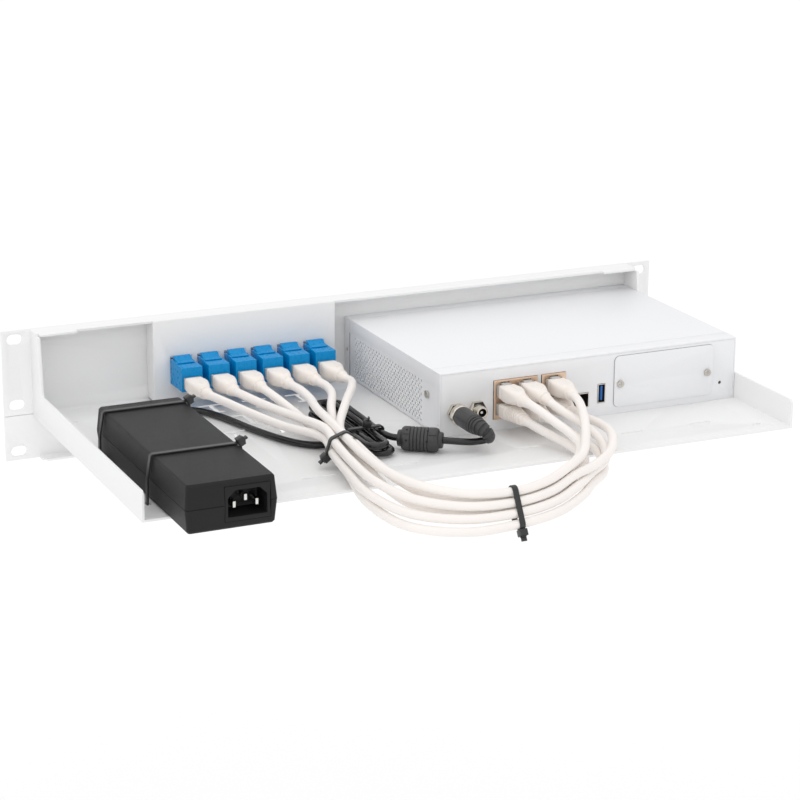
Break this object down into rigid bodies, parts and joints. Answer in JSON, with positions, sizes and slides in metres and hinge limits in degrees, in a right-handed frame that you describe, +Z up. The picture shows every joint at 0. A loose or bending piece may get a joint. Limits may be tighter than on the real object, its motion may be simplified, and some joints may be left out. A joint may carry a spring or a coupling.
{
  "type": "rack-mounted firewall appliance",
  "caption": "Rack-mounted firewall appliance on a tray kit with front couplers, tied patch cables and its power brick.",
  "frame": {"origin": "middle of the four ear slots of the rack panel, on the panel's rear face, where it meets the rack's rails", "axes": "+X to the left in the picture, +Y to the rear where the ports and cables are, +Z up"},
  "size_m": [0.4826, 0.3073, 0.0881],
  "materials": {
    "powder_white": "satin powder coat",
    "case_white": "smooth satin paint",
    "coupler_blue": "semi-gloss",
    "plug_white": "soft satin",
    "cable_white": "soft vinyl jacket",
    "tie_black": "smooth nylon",
    "lead_black": "glossy vinyl jacket",
    "brick_black": "fine matt texture",
    "inlet_black": "smooth",
    "board_green": "solder mask",
    "screw_steel": "plain",
    "lens_clear": "clear",
    "sink_aluminium": "extruded",
    "jack_shield": "plated",
    "cage_steel": "plated",
    "jack_silver": "nickel plate"
  },
  "bodies": {
    "rack_unit": {"front_panel": "powder_white", "blank_panel": "powder_white", "tray": "powder_white", "coupler_plate": "powder_white", "tray_screws": "screw_steel", "bundle_tie_1": "tie_black", "bundle_tie_2": "tie_black", "brick_top_shell": "brick_black", "brick_bottom_shell": "brick_black", "mains_inlet": "inlet_black", "brick_board": "board_green", "brick_grommet": "lead_black", "brick_ties": "tie_black", "dc_lead_run_1": "lead_black", "dc_lead_hank": "lead_black", "dc_lead_run_2": "lead_black", "hank_tie": "tie_black", "ferrite_shell": "brick_black", "dc_plug": "lead_black", "chassis_base": "case_white", "top_cover": "case_white", "side_vents": "case_white", "front_bezel": "case_white", "status_lens": "lens_clear", "main_board": "board_green", "heat_sink": "sink_aluminium", "lan_jacks": "jack_shield", "wan_jacks": "jack_shield", "sfp_cage": "cage_steel", "usb_port": "cage_steel", "dc_jacks": "jack_silver", "bay_cover": "case_white", "bay_screws": "screw_steel", "case_screws": "screw_steel", "coupler_1": "coupler_blue", "patch_plugs_1": "plug_white", "patch_cable_1": "cable_white", "coupler_2": "coupler_blue", "patch_plugs_2": "plug_white", "patch_cable_2": "cable_white", "coupler_3": "coupler_blue", "patch_plugs_3": "plug_white", "patch_cable_3": "cable_white", "coupler_4": "coupler_blue", "patch_plugs_4": "plug_white", "patch_cable_4": "cable_white", "coupler_5": "coupler_blue", "patch_plugs_5": "plug_white", "patch_cable_5": "cable_white", "coupler_6": "coupler_blue", "patch_plugs_6": "plug_white", "patch_cable_6": "cable_white"},
    "reset_button": {"reset_button": "brick_black"},
    "latch_1": {"coupler_latch_1": "coupler_blue"},
    "latch_2": {"coupler_latch_2": "coupler_blue"},
    "latch_3": {"coupler_latch_3": "coupler_blue"},
    "latch_4": {"coupler_latch_4": "coupler_blue"},
    "latch_5": {"coupler_latch_5": "coupler_blue"},
    "latch_6": {"coupler_latch_6": "coupler_blue"}
  },
  "joints": [
    {"name": "reset_press", "type": "slide", "parent": "rack_unit", "child": "reset_button", "axis": [0, -1, 0], "range_m": [0, 0.001], "stiffness_N_per_m": 800},
    {"name": "latch_1_press", "type": "hinge", "parent": "rack_unit", "child": "latch_1", "pos_m": [0.12402, 0.0258, 0.00103], "axis": [1, 0, 0], "range_deg": [0, 8], "stiffness_Nm_per_rad": 0.05},
    {"name": "latch_2_press", "type": "hinge", "parent": "rack_unit", "child": "latch_2", "pos_m": [0.10497, 0.0258, 0.00103], "axis": [1, 0, 0], "range_deg": [0, 8], "stiffness_Nm_per_rad": 0.05},
    {"name": "latch_3_press", "type": "hinge", "parent": "rack_unit", "child": "latch_3", "pos_m": [0.08593, 0.0258, 0.00103], "axis": [1, 0, 0], "range_deg": [0, 8], "stiffness_Nm_per_rad": 0.05},
    {"name": "latch_4_press", "type": "hinge", "parent": "rack_unit", "child": "latch_4", "pos_m": [0.06688, 0.0258, 0.00103], "axis": [1, 0, 0], "range_deg": [0, 8], "stiffness_Nm_per_rad": 0.05},
    {"name": "latch_5_press", "type": "hinge", "parent": "rack_unit", "child": "latch_5", "pos_m": [0.04782, 0.0258, 0.00103], "axis": [1, 0, 0], "range_deg": [0, 8], "stiffness_Nm_per_rad": 0.05},
    {"name": "latch_6_press", "type": "hinge", "parent": "rack_unit", "child": "latch_6", "pos_m": [0.02877, 0.0258, 0.00103], "axis": [1, 0, 0], "range_deg": [0, 8], "stiffness_Nm_per_rad": 0.05}
  ]
}
